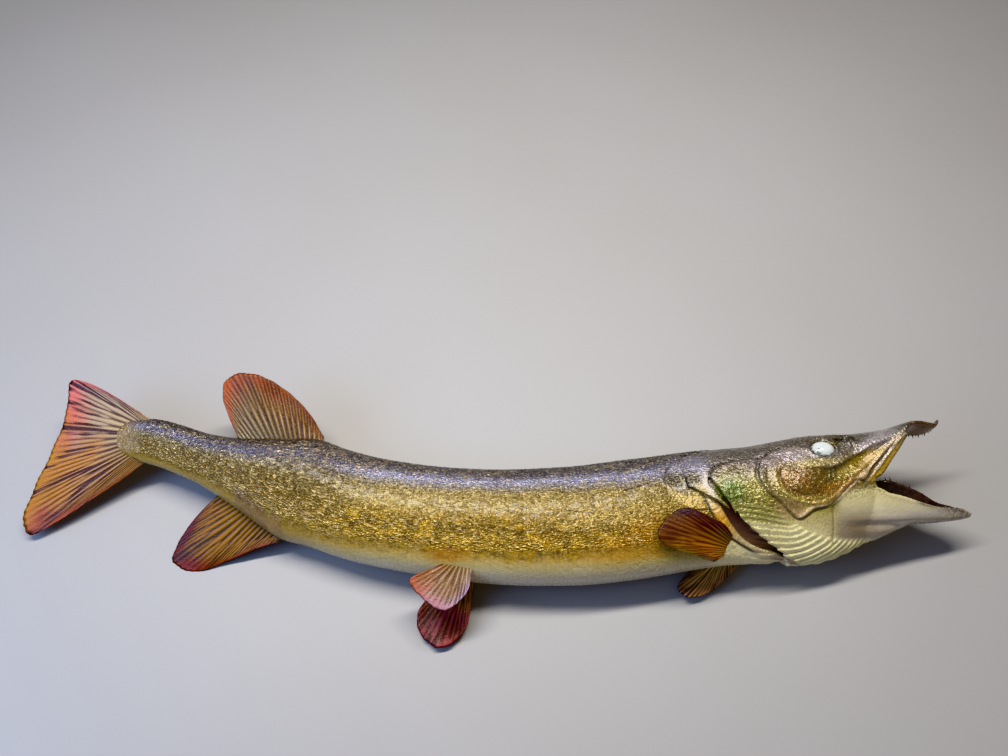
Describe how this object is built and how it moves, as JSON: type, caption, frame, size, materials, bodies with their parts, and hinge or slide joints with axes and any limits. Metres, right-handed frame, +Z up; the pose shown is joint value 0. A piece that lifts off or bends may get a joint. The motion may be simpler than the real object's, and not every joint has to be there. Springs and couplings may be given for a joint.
{
  "type": "mounted pike",
  "caption": "Life-size skin mount of a long slender predatory fish, lying on its left flank with its mouth agape and its body gently curved.",
  "frame": {"origin": "middle of the footprint, at floor level", "axes": "+X towards the snout, +Y towards the back of the fish, +Z up out of its right flank"},
  "size_m": [0.8852, 0.2456, 0.096],
  "materials": {
    "flank_skin": "lacquered scales, glossy",
    "head_skin": "lacquered, glossy",
    "jaw_skin": "lacquered, glossy",
    "throat_skin": "lacquered, glossy",
    "gill_lining": "satin",
    "fin_skin": "lacquered, glossy",
    "eye_glass": "polished"
  },
  "bodies": {
    "root": {"tail_stalk": "flank_skin", "trunk_rear": "flank_skin", "trunk_middle": "flank_skin", "trunk_front": "flank_skin", "head_upper": "head_skin", "lower_jaw": "jaw_skin", "gill_chamber": "gill_lining", "gill_cover_right": "head_skin", "gill_cover_left": "head_skin", "cheek_right": "head_skin", "cheek_left": "head_skin", "throat_pleats_right": "throat_skin", "throat_pleats_left": "throat_skin", "maxilla_right": "head_skin", "maxilla_left": "head_skin", "eye_right": "eye_glass", "eye_left": "eye_glass", "dorsal_fin": "fin_skin", "anal_fin": "fin_skin", "caudal_fin": "fin_skin", "pelvic_fin_right": "fin_skin", "pelvic_fin_left": "fin_skin", "pectoral_fin_right": "fin_skin", "pectoral_fin_left": "fin_skin"}
  },
  "joints": []
}
